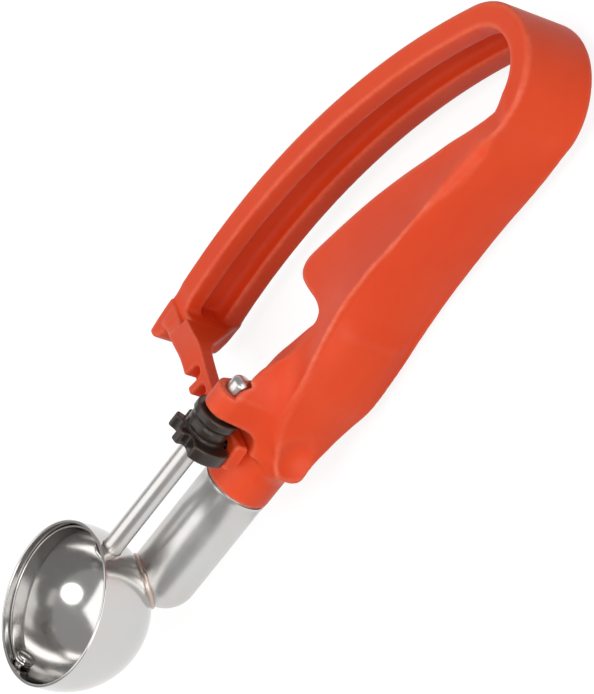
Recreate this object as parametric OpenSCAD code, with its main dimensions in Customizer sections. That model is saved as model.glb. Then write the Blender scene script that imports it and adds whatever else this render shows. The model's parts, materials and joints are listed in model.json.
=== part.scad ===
// Lever ice cream scoop: a squeeze handle whose arc-shaped rack turns a pinion,
// and the pinion's rod sweeps a blade round the inside of the bowl.
// Frame: origin at the centre of the bowl's half ball, on the axis of the rod.
// +X runs along the rod to the handle, +Z out of the bowl's mouth, +Y to the squeeze strap.

/* [Bowl] */
// Outside radius of the bowl
bowl_r = 19.5; // [17:0.5:23]
// Thickness of the bowl's sheet
bowl_wall = 0.8; // [0.6:0.1:1.2]
// Height of the straight skirt from the half ball to the rim
skirt_h = 3.75; // [3:0.25:6]

/* [Sweep blade] */
// Width of the blade's strip
blade_w = 4; // [3:0.25:5]
// Thickness of the blade's strip
blade_t = 0.6; // [0.4:0.1:0.9]
// Gap between the blade and the bowl
blade_gap = 0.3; // [0.2:0.05:0.5]
// Thickness of the flat eye at each end of the blade
eye_t = 0.8; // [0.6:0.1:1.2]
// Width of metal round the hole of each eye
eye_rim = 1.1; // [0.8:0.1:1.4]
// Radius of the fixed stud that the far eye turns on
stud_r = 1.4; // [1:0.1:1.8]
// Width of the rim of the stud's heads beyond its shank
stud_head = 0.9; // [0.6:0.1:1.2]

/* [Rod and gear] */
// Radius of the rod
rod_r = 2.4; // [2:0.1:2.8]
// Radial clearance of every running fit
fit_gap = 0.06; // [0.02:0.01:0.1]
// Gear module
gear_module = 1.8; // [1.7:0.05:1.9]
// Height of the gear teeth above the pitch circle
tooth_add = 1.7; // [1.4:0.1:1.8]
// Depth of the drum below the pitch circle
drum_ded = 1.3; // [1.2:0.1:1.6]
// Width of a tooth at its tip
tooth_tip_w = 2.1; // [1.6:0.1:2.3]
// Width of a tooth at the drum
tooth_root_w = 2.6; // [2.2:0.1:2.8]
// Length of the teeth along the rod
gear_face = 3.4; // [2.6:0.2:4]
// Length of the plain drum behind the teeth
drum_len = 6.3; // [5:0.1:7.5]
// Length of the flange at the drum's rear end
drum_flange = 1.9; // [1.2:0.1:2.2]
// Height of that flange above the drum
flange_rise = 0.6; // [0.3:0.1:0.9]

/* [Rack] */
// Thickness of the rack's bar
rack_t = 3.55; // [3.3:0.05:4.2]
// Width of the rack's bar along the rod
rack_w = 6.3; // [5.2:0.1:6.5]
// Depth of the notches cut in the bar
notch_deep = 3.05; // [2.95:0.05:3.15]
// Width of a notch at its mouth
notch_w = 3.5; // [3.5:0.05:3.8]
// Bar left beyond the lowest notch
rack_tail = 3.3; // [2:0.1:5]
// Gap between the rack and the drum, and between the rack and the collar
rack_gap = 0.35; // [0.3:0.05:0.6]

/* [Shank tube] */
// Outside radius of the shank tube
tube_r = 7.95; // [7:0.05:8.5]
// Wall of the shank tube
tube_wall = 1.2; // [0.8:0.1:1.6]
// Depth that the tube's round end sinks into the bowl's outline
tube_sink = 3.5; // [2.5:0.25:4.5]
// Radius of the brazed bead where tube and bowl meet
braze_r = 0.8; // [0.5:0.1:1.1]

/* [Head of the handle] */
// Place of the collar's front end along the rod
collar_x = 46.2; // [40:0.2:56]
// Rise of the collar above the tube's surface
collar_rise = 0.2; // [0.1:0.1:0.8]
// Distance from the collar's front end to the gear
gear_set = 7.3; // [6:0.1:9]
// Wall of the boss that carries the rod
boss_wall = 2; // [1.6:0.1:3]
// Length of the bearing in the boss
boss_len = 5.4; // [4:0.2:6.5]
// Length of the rod's domed end behind the bearing
rod_stub = 5.6; // [4:0.2:7]
// Length of the handle's spigot inside the tube
spigot_len = 16; // [8:1:19]

/* [Handle] */
// Distance from the rod's bearing to the rear of the loop
loop_len = 106.1; // [100:0.5:116]
// Height of the loop's rear bend above the rod
bend_y = 11.4; // [10.5:0.1:12.5]
// Outside radius of the lower half of the rear bend
bend_low_r = 17.2; // [16.5:0.1:18]
// Outside radius of the upper half of the rear bend
bend_top_r = 18.4; // [18:0.1:20]
// Thickness of the loop at the bend and along the strap
loop_t = 5.8; // [5:0.1:6.4]
// Width of the strap at its front end
strap_w = 16.2; // [14:0.2:18]
// Width of the loop at the rear bend
bend_w = 18; // [17:0.2:19]
// Outside radius of the strap's long arc
strap_r = 169.3; // [160:1:185]
// Length that the strap's arc turns through, in degrees
strap_turn = 41.6; // [38:0.2:42]
// Width of the groove along the strap's inside
groove_w = 5.8; // [4:0.2:7]
// Depth of that groove
groove_deep = 3.8; // [2.5:0.1:4.2]
// Height of the finger stop above the rod
hump_y = 19.1; // [15:0.1:20]
// Widest width of the grip, at the palm
palm_w = 24.7; // [20:0.1:27]
// Drop of the lip at the front of the grip below the rod
lip_drop = 12.4; // [10:0.1:15]
// Rise of the grip's back surface at its middle
crown = 1.4; // [0.4:0.1:2.5]

/* [Hidden] */
$fn = 96;
far = 400;
orange = [0.88, 0.33, 0.18];
steel = [0.75, 0.75, 0.76];
brown = [0.17, 0.11, 0.1];

// Gear train: a full turn would hold gear_teeth teeth, and cut_teeth of them are there.
gear_teeth = 7;
cut_teeth = 5;
tooth_step = 360 / gear_teeth;
// Turn of the first tooth away from +Y, towards the bowl's mouth
tooth_phase = 1.6;
pitch_r = gear_module * gear_teeth / 2;
tip_r = pitch_r + tooth_add;
drum_r = pitch_r - drum_ded;
// Angles at which the toothless part of the gear starts and ends, clear of the rack
sector_a = 134;
sector_b = 217;

// Heights below the rod: the rack's two faces, the collar and the tube's axis
rack_top = drum_r + rack_gap;
rack_back = rack_top + rack_t;
collar_r = tube_r + collar_rise;
boss_r = rod_r + boss_wall;
axis_drop = rack_back + rack_gap + collar_r;

// Places along the rod
gear_x = collar_x + gear_set;
drum_x = gear_x + gear_face;
boss_x = drum_x + drum_len + rack_gap;
boss_end = boss_x + boss_len;
rod_end = boss_end + rod_stub;
tube_in = tube_r - tube_wall;
dome_reach = bowl_r + tube_r - tube_sink;
dome_x = sqrt(dome_reach * dome_reach - axis_drop * axis_drop);

// Rear bend: its two halves share the rearmost point
rear_x = boss_end + loop_len;
low_x = rear_x - bend_low_r;
top_x = rear_x - bend_top_r;
join_a = 60;
arc_x = top_x - (strap_r - bend_top_r) * cos(join_a);
arc_y = bend_y - (strap_r - bend_top_r) * sin(join_a);
// The groove starts this many degrees behind the strap's front end
groove_off = 4.5;
// The strap flexes about a point in the wall of the bend
flex_a = -33;
flex_r = bend_low_r - loop_t / 2;
flex_x = low_x + flex_r * cos(flex_a);
flex_y = bend_y + flex_r * sin(flex_a);
seat_gap = 0.15;
seat_back = 6;

// Rack: an arc about the flex point, its notches in step with the gear
rack_out = flex_x - gear_x + 0.4;
rack_in = rack_out - rack_w;
mesh_r = rack_out - gear_face / 2 - 0.6;
notch_turn = tooth_step * pitch_r / mesh_r;
function mesh_turn(a) = (a + 90) * pitch_r / mesh_r;
rest_turn = asin(flex_y / mesh_r);
notch_len = gear_face + 1.2;
// Front of the housing's web, just behind the rack
web_x = flex_x - rack_in + 1.5;
notch_corner = 0.8;
// Foot: where the rack leaves the strap, and the patch of the strap that it grows from
foot_turn = asin((30 - flex_y) / rack_out);
foot_x = 50;
foot_y = 42.3;
foot_len = 9;
foot_t = 3;

// Bowl and blade
bowl_in = bowl_r - bowl_wall;
blade_r = bowl_in - blade_gap;
eye_x = sqrt(blade_r * blade_r - pow(rod_r + eye_rim, 2)) - 0.1;
stud_head_t = 0.8;
ball_more = 0.15;

function lerp(a, b, t) = a + (b - a) * t;

// Smooth curve through hand-placed values: column c of table t at place x
function row_at(t, x, i = 0) = i > len(t) - 3 || x < t[i + 1][0] ? i : row_at(t, x, i + 1);
function slope(t, i, c) = i == 0 ? (t[1][c] - t[0][c]) / (t[1][0] - t[0][0])
    : i == len(t) - 1 ? (t[i][c] - t[i - 1][c]) / (t[i][0] - t[i - 1][0])
    : (t[i + 1][c] - t[i - 1][c]) / (t[i + 1][0] - t[i - 1][0]);
function smooth_at(t, x, c) = let (i = row_at(t, x), w = t[i + 1][0] - t[i][0], s = (x - t[i][0]) / w)
    t[i][c] * (2 * s * s * s - 3 * s * s + 1) + slope(t, i, c) * w * (s * s * s - 2 * s * s + s)
    + t[i + 1][c] * (3 * s * s - 2 * s * s * s) + slope(t, i + 1, c) * w * (s * s * s - s * s);

// Grip, seen from the side: place from the boss's rear end, corner of the back, half width there
grip_back = [
    [-11.7, -8.6, 2.2],
    [-9.9, -lip_drop, 3.2],
    [-7.6, 0.6 - lip_drop, 4.3],
    [-4.6, -9.8, 5.8],
    [-1, -8.3, 7.2],
    [5.5, -8.1, 9],
    [11, -8.3, 10.1],
    [21, -6.4, 0.47 * palm_w],
    [31, -4.3, palm_w / 2],
    [41, -3.4, 0.48 * palm_w],
    [53, -3.7, 0.5 * bend_w + 1.9],
    [65, -4, 0.5 * bend_w + 1.45],
    [77, -4.9, 0.5 * bend_w + 1.1],
    [low_x - boss_end, bend_y - bend_low_r, 0.5 * bend_w + 0.7]];
// Top of the grip, with the finger stop's steep front
grip_top = [
    [-11.7, -3],
    [0, -1],
    [7, 6.8],
    [14, 5.4],
    [20, 3.9],
    [22.6, 3.1],
    [23.6, 4.1],
    [24.05, 7],
    [24.3, hump_y / 2 + 3],
    [24.6, hump_y - 1.9],
    [25.3, hump_y - 0.4],
    [26.6, hump_y],
    [28.5, hump_y - 0.1],
    [35, hump_y - 1.4],
    [42, hump_y - 2.7],
    [49, hump_y - 4.2],
    [56, hump_y - 6.4],
    [65.5, 9.4],
    [74.5, 5.7],
    [80.6, 2.9],
    [85.5, 1.1],
    [low_x - boss_end, bend_y - bend_low_r + loop_t]];
grip_steps = [-11.7, -10.6, -9.9, -9, -7.6, -6, -4.6, -2.8, -1, 2, 5.5, 8.5, 11, 14, 17.5, 20, 22, 22.9, 23.6,
    23.95, 24.2, 24.4, 24.7, 25.3, 26.6, 28.5, 31, 35, 39, 43, 48, 53, 59, 65, 71, 77, 82,
    low_x - boss_end + 0.6];

// One section of the grip: half outline from the top's middle to the back's middle.
// Depth runs outwards from the loop, the other value is the offset from the middle plane.
function half_section(top, back, top_w, back_w, rise) =
    let (rt = min(1.4, top_w / 3), rb = min(2, back_w / 2), out = back - rb * 0.25)
    concat(
        [for (a = [90, 60, 30, 0]) [top + rt - rt * sin(a), top_w - rt + rt * cos(a)]],
        [for (t = [0.35, 0.7]) [lerp(top + rt, out - rb, t), lerp(top_w, back_w, t * t)]],
        [for (a = [0, 30, 60]) [out - rb + rb * sin(a), back_w - rb + rb * cos(a)]],
        [for (t = [0.7, 0.4]) [back + rise * (1 - t * t), back_w * t]]);
function whole_section(half, top, back) = let (n = len(half)) concat(
    [[top, 0]], half, [[back, 0]], [for (i = [n - 1:-1:0]) [half[i][0], -half[i][1]]]);
function grip_section(u) =
    let (x = u + boss_end, inset = x > low_x ? 0.08 : 0, top = inset - smooth_at(grip_top, u, 1),
        back = -smooth_at(grip_back, u, 1) - inset, w = smooth_at(grip_back, u, 2) - inset,
        rise = crown * min(1, w / palm_w * 2) * (u > 70 ? max(0, (low_x - x) / (low_x - boss_end - 70)) : 1),
        half = half_section(top, back, min(w, strap_w / 2), w, rise))
    [for (p = whole_section(half, top, back + rise)) [x, -p[0], p[1] - axis_drop]];

// Solid skin over a row of sections that all have the same number of points
module skin(rings) {
    n = len(rings[0]);
    m = len(rings);
    sides = [for (j = [0:m - 2]) for (i = [0:n - 1]) for (k = [0, 1])
        k == 0 ? [j * n + i, (j + 1) * n + (i + 1) % n, j * n + (i + 1) % n]
            : [j * n + i, (j + 1) * n + i, (j + 1) * n + (i + 1) % n]];
    polyhedron(
        points = [for (r = rings) for (p = r) p],
        faces = concat(sides, [[for (i = [0:n - 1]) i]], [[for (i = [n - 1:-1:0]) (m - 1) * n + i]]),
        convexity = 6);
}

// Cylinder along X from x0, centred at y, z
module along_x(r, x0, len, y = 0, z = 0) {
    translate([x0, y, z]) rotate([0, 90, 0]) cylinder(r = r, h = len);
}

// Wedge of the XY plane seen from the origin, between two angles less than a half turn apart
module wedge(a0, a1) {
    intersection() {
        rotate(a0) translate([-far, 0]) square([2 * far, far]);
        rotate(a1) translate([-far, -far]) square([2 * far, far]);
    }
}

module ring_piece(outer, inner, a0, a1) {
    intersection() {
        difference() {
            circle(r = outer, $fn = 200);
            circle(r = inner, $fn = 200);
        }
        wedge(a0, a1);
    }
}

// Points of an arc after its first point, about cx, cy, from angle a0 to a1 in n steps
function arc_points(cx, cy, r, a0, a1, n) =
    [for (i = [1:n]) let (a = a0 + (a1 - a0) * i / n) [cx + r * cos(a), cy + r * sin(a)]];

// Line inside the strap and the bend's upper half, cut deep below their outer surface,
// from the strap's front end, or back_off degrees short of it, to angle a1 of the bend
function strap_line(cut, back_off, a1) = let (a0 = join_a + strap_turn - back_off) concat(
    [[arc_x + (strap_r - cut) * cos(a0), arc_y + (strap_r - cut) * sin(a0)]],
    arc_points(arc_x, arc_y, strap_r - cut, a0, join_a, 24),
    arc_points(top_x, bend_y, bend_top_r - cut, join_a, a1, 12));
function reversed(t) = [for (i = [len(t) - 1:-1:0]) t[i]];

// Side view of the strap, the bend's upper half and its round end at the flex point
module strap_side() {
    low_out = arc_points(low_x, bend_y, bend_low_r, 0, flex_a, 6);
    low_in = arc_points(low_x, bend_y, bend_low_r - loop_t, 0, flex_a, 6);
    end = arc_points(flex_x, flex_y, loop_t / 2, flex_a, flex_a - 180, 12);
    polygon(concat(strap_line(0, 0, 0), low_out, [for (i = [0:10]) end[i]], reversed(low_in),
        reversed(strap_line(loop_t, 0, 0))));
}

// Side view of the groove along the strap's inside, from behind the foot into the bend
module groove_side() {
    polygon(concat(strap_line(loop_t - groove_deep, groove_off, 12), reversed(strap_line(loop_t + 2, groove_off, 12))));
}

// Prism in Y whose width changes evenly from w0 at x0 to w1 at x1, 5 mm longer at each end
module plan_view(x0, w0, x1, w1) {
    more = 5 * (w1 - w0) / (x1 - x0) / 2;
    translate([0, 60, -axis_drop]) rotate([90, 0, 0]) linear_extrude(80)
        polygon([[x0 - 5, w0 / 2 - more], [x1 + 5, w1 / 2 + more], [x1 + 5, -w1 / 2 - more], [x0 - 5, more - w0 / 2]]);
}

// Half circles of the boss and the collar joined by their common tangents
module head_section(x0, len, less = 0) {
    tilt = asin((collar_r - boss_r) / axis_drop);
    translate([x0, 0, 0]) rotate([90, 0, 90]) linear_extrude(len) {
        circle(r = boss_r - less);
        translate([0, -axis_drop]) circle(r = collar_r - less);
        polygon([for (s = [1, -1]) for (e = s > 0 ? [0, 1] : [1, 0])
            let (r = (e == 0 ? boss_r : collar_r) - less) [s * r * cos(tilt), r * sin(tilt) - e * axis_drop]]);
    }
}

// Lower half of the rear bend, with the seat for the flexing end of the strap
module low_bend() {
    difference() {
        intersection() {
            translate([low_x, bend_y, -axis_drop - 15]) linear_extrude(30)
                ring_piece(bend_low_r, bend_low_r - loop_t, -90, flex_a - seat_back);
            plan_view(low_x, bend_w + 1.4, rear_x, bend_w + 0.6);
        }
        translate([flex_x, flex_y, -axis_drop - 15])
            cylinder(r = loop_t / 2 + seat_gap, h = 30);
    }
}

module grip_handle() color(orange) difference() {
    union() {
        skin([for (u = grip_steps) grip_section(u)]);
        low_bend();
        // Spigot inside the tube
        along_x(tube_in - fit_gap, collar_x - spigot_len, spigot_len + 1, 0, -axis_drop);
        // Collar, and the boss for the rod joined to it
        along_x(collar_r, collar_x, web_x - collar_x, 0, -axis_drop);
        head_section(web_x, boss_end + 4 - web_x);
        // Fairing from the boss back into the neck of the grip
        hull() {
            head_section(boss_end + 2.5, 1, 0.06, $fn = 32);
            translate([boss_end + 22, -5.5, -axis_drop - strap_w / 2 + 1])
                cube([2, 8.5, strap_w - 2]);
        }
    }
    // Room for the end of the drum between the web and the boss
    translate([web_x - 1, 0, 0]) rotate([90, 0, 90]) linear_extrude(boss_x - web_x + 1) {
        circle(r = drum_r + flange_rise + rack_gap);
        translate([-15, -boss_r]) square(30);
    }
    // Bearing for the rod and the open pocket round its end
    along_x(rod_r + fit_gap, boss_x - 1, boss_len + 4);
    translate([boss_end, 0, 0]) rotate([90, 0, 90]) linear_extrude(rod_stub + 1.6) {
        circle(r = rod_r + 0.8);
        translate([-rod_r + 0.8, -rod_r - 0.5]) square(30);
    }
}

// Notch seen from the gear: a slot from the rack's front edge with bevelled blind corners
module notch(turn) {
    blind = rack_out - notch_len;
    half = notch_w / 2;
    rotate(180 - turn) translate([0, 0, -rack_top - notch_deep]) linear_extrude(notch_deep + 1)
        polygon([[rack_out + 1, -half], [rack_out + 1, half], [blind + notch_corner, half],
            [blind, half - notch_corner], [blind, notch_corner - half], [blind + notch_corner, -half]]);
}

// Arc-shaped rack, centred on the flex point and as thick as its bar
module rack_bar() {
    low_turn = rest_turn - mesh_turn(tooth_phase - 2 * tooth_step) + (rack_tail + notch_w / 2) / mesh_r * 180 / PI;
    difference() {
        translate([flex_x, flex_y, -rack_back]) linear_extrude(rack_t)
            ring_piece(rack_out, rack_in, 180 - foot_turn - 1, 180 + low_turn);
        translate([flex_x, flex_y, 0])
            for (i = [0:cut_teeth - 1])
                notch(mesh_turn(tooth_phase + (i - 2) * tooth_step) - rest_turn);
    }
}

module squeeze_strap() color(orange) difference() {
    union() {
        intersection() {
            translate([0, 0, -axis_drop - 15]) linear_extrude(30) strap_side();
            plan_view(collar_x, strap_w, rear_x, bend_w);
        }
        rack_bar();
        // Foot that carries the rack: it leans from the strap's whole width to the rack's bar
        hull() {
            translate([flex_x, flex_y, 0.1 - rack_back]) rotate(180 - foot_turn)
                translate([rack_in + 0.12, 0, 0]) cube([rack_w - 0.24, 0.5, rack_t - 0.2]);
            translate([foot_x, foot_y, -axis_drop - strap_w / 2 + 0.05])
                cube([foot_len, foot_t, strap_w - 0.1]);
        }
    }
    translate([0, 0, -axis_drop - groove_w / 2]) linear_extrude(groove_w) groove_side();
}

// Bar of radius r along the tube's axis whose front end is a ball, a little fuller than the bar
module round_ended(r, x_end) {
    ball_x = dome_x + ball_more;
    intersection() {
        along_x(r, dome_x - r - 1, x_end - dome_x + r + 1, 0, -axis_drop);
        union() {
            translate([ball_x, 0, -axis_drop]) rotate([0, -45, 0]) sphere(r = r + ball_more);
            along_x(r + 1, ball_x, x_end - dome_x, 0, -axis_drop);
        }
    }
}

module shank_tube() color(steel) difference() {
    round_ended(tube_r, collar_x);
    round_ended(tube_in, collar_x + 1);
    sphere(r = bowl_r);
}

// Bead that fills the corner between the tube's round end and the bowl
module braze_bead() color(steel) {
    reach = (dome_reach * dome_reach + bowl_r * bowl_r - tube_r * tube_r) / (2 * dome_reach);
    ring_r = sqrt(bowl_r * bowl_r - reach * reach);
    difference() {
        rotate([0, 90 + asin(axis_drop / dome_reach), 0]) translate([0, 0, reach])
            rotate_extrude($fn = 240) translate([ring_r, 0]) circle(r = braze_r);
        sphere(r = bowl_r, $fn = 400);
        round_ended(tube_r, dome_x + 20, $fn = 240);
    }
}

module bowl() color(steel) difference() {
    union() {
        intersection() {
            sphere(r = bowl_r);
            translate([-bowl_r - 1, -bowl_r - 1, -bowl_r - 1]) cube([2 * bowl_r + 2, 2 * bowl_r + 2, bowl_r + 1]);
        }
        cylinder(r = bowl_r, h = skirt_h);
    }
    sphere(r = bowl_in);
    cylinder(r = bowl_in, h = skirt_h + 1);
    along_x(rod_r + fit_gap, 0, bowl_r + 2);
    along_x(stud_r, -bowl_r - 2, bowl_r + 2);
}

module ejector_rod() color(steel) {
    along_x(rod_r, eye_x - eye_t - 0.5, rod_end - rod_r - eye_x + eye_t + 0.5);
    translate([rod_end - rod_r, 0, 0]) intersection() {
        sphere(r = rod_r);
        translate([0, -rod_r, -rod_r]) cube(2 * rod_r);
    }
}

module gear_tooth(a) {
    rotate(a) polygon([[drum_r - 0.5, -tooth_root_w / 2], [tip_r - 0.5, -tooth_tip_w / 2], [tip_r, -tooth_tip_w / 2 + 0.5],
        [tip_r, tooth_tip_w / 2 - 0.5], [tip_r - 0.5, tooth_tip_w / 2], [drum_r - 0.5, tooth_root_w / 2]]);
}

module drive_gear() color(brown) difference() {
    union() {
        translate([gear_x, 0, 0]) rotate([90, 0, 90]) linear_extrude(gear_face) {
            circle(r = drum_r);
            ring_piece(tip_r, drum_r / 2, sector_a, sector_b);
            for (i = [0:cut_teeth - 1]) gear_tooth(tooth_phase + (i - 2) * tooth_step);
        }
        along_x(drum_r, drum_x, drum_len);
        along_x(drum_r + flange_rise, drum_x + drum_len - drum_flange, drum_flange);
    }
    along_x(rod_r, gear_x - 1, gear_face + drum_len + 2);
}

module sweep_blade() color(steel) difference() {
    union() {
        intersection() {
            difference() {
                sphere(r = blade_r);
                sphere(r = blade_r - blade_t);
            }
            translate([-bowl_r, 0, -blade_w / 2]) cube([2 * bowl_r, bowl_r, blade_w]);
        }
        along_x(rod_r + eye_rim, eye_x - eye_t, eye_t);
        along_x(stud_r + eye_rim, -eye_x, eye_t);
    }
    along_x(rod_r, 0, bowl_r);
    along_x(stud_r + fit_gap, -bowl_r, bowl_r);
}

// Stud fixed in the far wall: shank, inner head and a low outer head
module pivot_stud() color(steel) {
    along_x(stud_r, -bowl_r - 0.2, bowl_r + 0.2 - eye_x + eye_t + 0.7);
    along_x(stud_r + stud_head, -eye_x + eye_t + 0.2, 0.5);
    difference() {
        along_x(stud_r + stud_head, -bowl_r - stud_head_t, stud_head_t);
        sphere(r = bowl_r);
    }
}

grip_handle();
squeeze_strap();
shank_tube();
braze_bead();
bowl();
ejector_rod();
drive_gear();
sweep_blade();
pivot_stud();
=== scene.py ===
"""Looks of the lever ice cream scoop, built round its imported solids. Sizes are in millimetres where a
name says nothing else, and MM turns them into the frame's metres."""
import json

import bmesh
import bpy
import numpy as np
from mathutils import Matrix, Vector

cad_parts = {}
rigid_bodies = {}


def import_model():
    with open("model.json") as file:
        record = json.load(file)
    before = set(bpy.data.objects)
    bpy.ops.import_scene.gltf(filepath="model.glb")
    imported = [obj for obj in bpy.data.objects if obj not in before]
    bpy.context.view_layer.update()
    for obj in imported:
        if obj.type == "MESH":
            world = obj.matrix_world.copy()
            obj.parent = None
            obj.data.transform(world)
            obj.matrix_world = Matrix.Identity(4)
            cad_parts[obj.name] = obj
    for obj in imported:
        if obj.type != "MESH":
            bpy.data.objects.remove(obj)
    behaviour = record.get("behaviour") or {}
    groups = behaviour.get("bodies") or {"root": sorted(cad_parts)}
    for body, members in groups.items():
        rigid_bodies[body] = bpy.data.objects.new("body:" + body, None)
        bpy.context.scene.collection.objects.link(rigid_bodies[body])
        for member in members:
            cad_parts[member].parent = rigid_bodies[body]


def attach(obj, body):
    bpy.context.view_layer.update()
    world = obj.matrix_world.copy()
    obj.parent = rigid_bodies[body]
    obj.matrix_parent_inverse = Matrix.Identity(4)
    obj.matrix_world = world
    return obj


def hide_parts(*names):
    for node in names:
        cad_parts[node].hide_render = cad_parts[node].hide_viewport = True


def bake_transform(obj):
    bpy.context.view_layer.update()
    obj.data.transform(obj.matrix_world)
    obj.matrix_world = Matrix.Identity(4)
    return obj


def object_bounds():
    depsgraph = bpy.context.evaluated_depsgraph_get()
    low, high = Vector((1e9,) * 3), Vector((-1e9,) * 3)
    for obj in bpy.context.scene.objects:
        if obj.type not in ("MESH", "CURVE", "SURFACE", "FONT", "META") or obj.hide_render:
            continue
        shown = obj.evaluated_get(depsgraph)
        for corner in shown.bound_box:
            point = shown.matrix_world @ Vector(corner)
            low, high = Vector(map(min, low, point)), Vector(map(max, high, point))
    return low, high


for thing in list(bpy.data.objects):  # Blender's own start-up objects
    bpy.data.objects.remove(thing)
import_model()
size_before = [[float(c) for c in corner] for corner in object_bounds()]
MM = 0.001

# --------------------
# Handle moulding: grip, housing for the gear, rear loop and the first end of the squeeze strap are one
# shot of glass-filled nylon, orange all through. Its edges come from the mould with a small round, and
# the thin wall of the loop bends each time the strap is squeezed.

AXIS_DROP = 17.4  # from the rod's axis down to the middle plane of the handle
REAR = 175.05  # rearmost point of the loop
LOW_BEND = (157.85, 11.4, 17.2)  # centre x, y and outer radius of the bend's lower half
TOP_BEND = (156.65, 11.4, 18.4)  # the same for its upper half
LOOP_WALL = 6.0
STRAP_ARC = (81.2, -119.3, 169.29)  # centre x, y and outer radius of the strap
JOIN_TURN, NOSE_TURN = 60.0, 101.45  # where the strap leaves the bend, and its front end, in degrees
INNER_TURN = 98.0  # where the strap's inner line gives way to the nose
STRAP_FRONT, STRAP_HALF = 46.2, (8.35, 9.25)  # front end, and half widths there and at the rear
NOSE_FLARE, FLARE_TURN, FLARE_LENGTH = 0.6, 96.0, (46, 66)  # growth of the front end, and where it fades
BEND_HALF, BEND_SPREAD = (10.1, 9.5), 0.2  # half widths of the lower bend, and its growth per millimetre
TOP_HALF, TOP_GROWTH, TOP_WIDENS = 8.35, 0.8, (138, 160)  # half width along the grip's top edge
SEAM_SLOPE, STRAP_SHARE = 0.15, (33.5, 46.5)  # grip turns into strap while y + slope x passes these
GRIP_CORNER, STRAP_CORNER, CORNER_LIMIT = 0.9, 0.75, 0.45  # edge radii; limit, a share of half width
SOFT_EDGE, SOFT_START, SOFT_END, SOFT_SWELL = 2.8, (130, 143), (149, 156), (0.3, 0.7)  # near back edge
CROWN, CROWN_END, CROWN_SWELL = 1.4, (139, 157), (0.35, 0.9)  # swell of the back between its long edges
CROWN_HALF, PALM_HALF = 10.5, 12.35  # half width over which the back is crowned, and the grip's widest

# Top edge of the grip from the loop to the lip: x, y
GRIP_TOP = np.array([
    (154.5, 1.3), (149.6, 3.4), (143.5, 6.3), (137.4, 8.6), (131.2, 11), (124.8, 13.2), (118.2, 15.2),
    (111.2, 16.9), (104.1, 18.4), (98.2, 19.5), (96, 19.6), (94.3, 19.1), (93.2, 18.2), (92.5, 16.5),
    (92.5, 14), (92.8, 11.5), (93.2, 8.5), (93.1, 5.6), (92.5, 4.1), (91.4, 3.2), (90.1, 3.2),
    (88.4, 3.9), (83, 5.3), (76, 6.6), (69, 2), (62, -3), (57.4, -4.2)])
# Back edge of the grip from the lip to the loop: x, y, half width
GRIP_BACK = np.array([
    (57.2, -8.8, 2.4), (58.6, -12, 2.9), (60.2, -12.3, 3.7), (62.7, -10.9, 4.6), (64.6, -9.6, 5.6),
    (67.9, -8.4, 7.2), (74.5, -8.1, 9.1), (80, -8.4, 10.4), (90, -6.6, 11.8), (100, -4.6, 12.35),
    (110, -3.7, 12.2), (122, -4, 11.5), (134, -4.3, 11.2), (146, -5.1, 11), (157.85, -5.8, 10.1)])
# Depth over which the side faces swell towards the back: x, depth
SIDE_DEPTH = np.array([
    (57, 8), (68, 9), (75, 12), (84, 14), (92, 17), (98, 20), (104, 20.5), (112, 19), (120, 17),
    (130, 14), (140, 11), (150, 8.5), (158, 6.5)])
# Rounded front end of the strap, from outside to inside: x, y
NOSE = np.array([
    (47.35, 46.5), (47.4, 45.4), (48, 44.4), (49.2, 43.4), (51, 42.9), (53.2, 42.5), (55.2, 42.3),
    (57.4, 42.35)])


def smooth_table(table, x, column=1):
    """Value of a table at x: between two rows it follows the cubic that has, at each row, the slope
    between that row's two neighbours."""
    knots, values = table[:, 0], table[:, column]
    slopes = np.gradient(values, knots)
    x = np.clip(x, knots[0], knots[-1])
    i = np.clip(np.searchsorted(knots, x, side="right") - 1, 0, len(knots) - 2)
    width = knots[i + 1] - knots[i]
    s = (x - knots[i]) / width
    return (values[i] * (2 * s**3 - 3 * s**2 + 1) + slopes[i] * width * (s**3 - 2 * s**2 + s)
            + values[i + 1] * (3 * s**2 - 2 * s**3) + slopes[i + 1] * width * (s**3 - s**2))


def step(x, low, high):
    """0 below low, 1 above high and 3s^2 - 2s^3 between them, s being the share of the way."""
    s = np.clip((x - low) / (high - low), 0, 1)
    return s * s * (3 - 2 * s)


def arc(bend, first, last, count, wall=0.0):
    """Points on a circle of the bend's radius less the wall, from one angle to the other in degrees."""
    a = np.radians(np.linspace(first, last, count))
    return np.stack([bend[0] + (bend[2] - wall) * np.cos(a), bend[1] + (bend[2] - wall) * np.sin(a)], 1)


def outline_distance(points, x, y):
    """Distance from each place to the nearest side of a closed outline, negative inside. A side's
    nearest point is the foot of the perpendicular, kept between the side's ends; a place is inside when
    a line from it towards +x crosses the outline an odd number of times."""
    nearest = np.full(np.broadcast(x, y).shape, 1e9)
    crossings = np.zeros(nearest.shape, bool)
    for (ax, ay), (bx, by) in zip(points, np.roll(points, -1, axis=0)):
        length2 = (bx - ax) ** 2 + (by - ay) ** 2
        share = np.clip(((x - ax) * (bx - ax) + (y - ay) * (by - ay)) / length2, 0, 1)
        nearest = np.minimum(nearest, (x - ax - share * (bx - ax)) ** 2 + (y - ay - share * (by - ay)) ** 2)
        if ay != by:
            crossings ^= ((ay > y) != (by > y)) & (x < ax + (y - ay) * (bx - ax) / (by - ay))
    return np.where(crossings, -1, 1) * np.sqrt(nearest)


def side_map(values, low, pitch):
    """Makes a lattice of values into a function of x and y, straight between the lattice points."""
    def look(x, y):
        u = np.clip((x - low[0]) / pitch, 0, values.shape[0] - 1.001)
        v = np.clip((y - low[1]) / pitch, 0, values.shape[1] - 1.001)
        i, j = u.astype(int), v.astype(int)
        u, v = u - i, v - j
        return ((values[i, j] * (1 - u) + values[i + 1, j] * u) * (1 - v)
                + (values[i, j + 1] * (1 - u) + values[i + 1, j + 1] * u) * v)
    return look


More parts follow.
